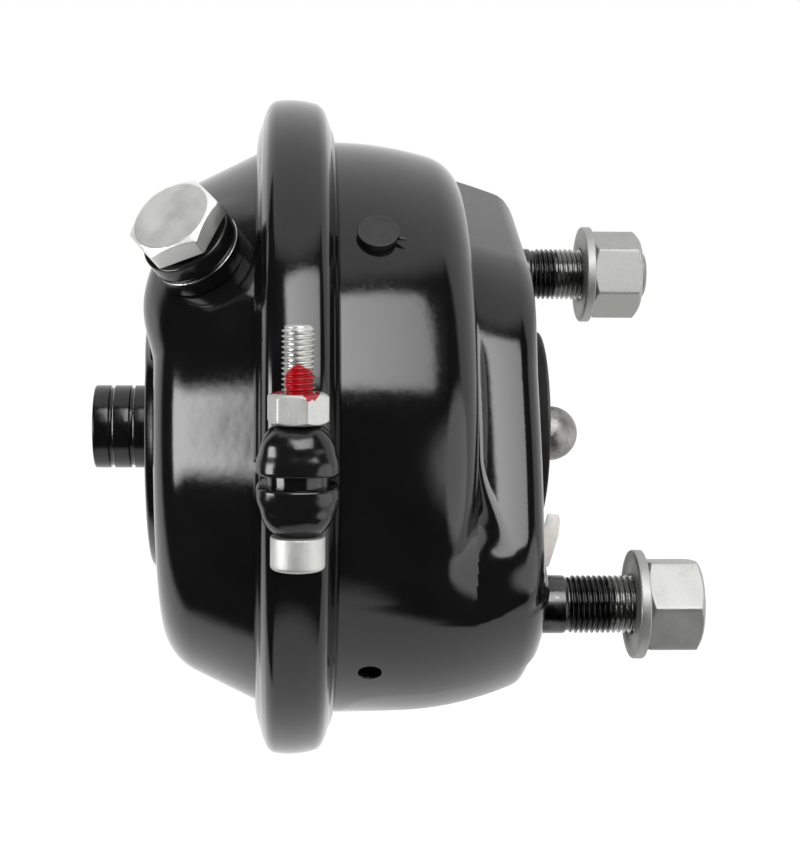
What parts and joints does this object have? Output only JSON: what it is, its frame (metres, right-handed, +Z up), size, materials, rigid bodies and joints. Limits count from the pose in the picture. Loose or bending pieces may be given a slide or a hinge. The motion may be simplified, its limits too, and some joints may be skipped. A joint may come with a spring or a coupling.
{
  "type": "air brake chamber",
  "caption": "Air brake chamber: clamped diaphragm housing with two mounting studs, air ports and a sprung push rod.",
  "frame": {"origin": "centre of the stud pattern in the plane of the mounting face", "axes": "+X along the chamber axis out of the mounting face, towards the caliper; +Z up as mounted, with the stud line leaning 36 degrees from +Z towards +Y; the clamp lugs are on the -Y side"},
  "size_m": [0.1695, 0.2093, 0.1896],
  "materials": {
    "black_paint": "gloss",
    "zinc_steel": "satin",
    "zinc_bright": "satin",
    "plain_steel": "satin",
    "spring_steel": "satin",
    "black_steel": "satin",
    "rubber": "matte",
    "black_plastic": "satin",
    "white_plastic": "satin"
  },
  "bodies": {
    "housing": {"mounting_housing": "black_paint", "stud_brace": "zinc_steel", "face_plug": "white_plastic", "drain_plug": "black_plastic", "pressure_housing": "black_paint", "axial_port": "black_paint", "angled_port": "black_paint", "plug_seal": "rubber", "port_plug": "zinc_bright", "diaphragm": "rubber", "return_spring": "spring_steel", "spring_seat": "zinc_steel", "boot": "rubber", "clamp_band": "black_paint", "clamp_spacer": "black_paint", "clamp_bolt": "zinc_bright", "clamp_nut": "zinc_bright", "upper_stud": "black_steel", "lower_stud": "black_steel"},
    "push_plate": {"push_plate": "plain_steel"},
    "push_rod": {"push_rod": "plain_steel", "boot_clip": "zinc_steel"},
    "upper_washer": {"upper_washer": "zinc_steel"},
    "upper_nut": {"upper_nut": "zinc_steel"},
    "lower_washer": {"lower_washer": "zinc_steel"},
    "lower_nut": {"lower_nut": "zinc_steel"}
  },
  "joints": [
    {"name": "rod_stroke", "type": "slide", "parent": "housing", "child": "push_plate", "axis": [1, 0, 0], "range_m": [0, 0.062], "stiffness_N_per_m": 1200, "springref_m": -0.05, "deforming": ["diaphragm", "return_spring", "boot"]},
    {"name": "rod_swing", "type": "hinge", "parent": "push_plate", "child": "push_rod", "pos_m": [-0.0844, 0, 0], "axis": [0, 1, 0], "range_deg": [-3.5, 0], "deforming": ["boot"]},
    {"name": "upper_nut_travel", "type": "slide", "parent": "housing", "child": "upper_washer", "axis": [1, 0, 0], "range_m": [-0.01651, 0]},
    {"name": "upper_nut_turn", "type": "hinge", "parent": "upper_washer", "child": "upper_nut", "pos_m": [0.0254, 0.03546, 0.0488], "axis": [1, 0, 0], "range_deg": [-3960, 0]},
    {"name": "lower_nut_travel", "type": "slide", "parent": "housing", "child": "lower_washer", "axis": [1, 0, 0], "range_m": [-0.01801, 0]},
    {"name": "lower_nut_turn", "type": "hinge", "parent": "lower_washer", "child": "lower_nut", "pos_m": [0.0278, -0.03546, -0.0488], "axis": [1, 0, 0], "range_deg": [-4320, 0]}
  ],
  "couplings": [
    {"joint": "upper_nut_travel", "follows": "upper_nut_turn", "m_per_rad": 0.00023873},
    {"joint": "lower_nut_travel", "follows": "lower_nut_turn", "m_per_rad": 0.00023873}
  ]
}
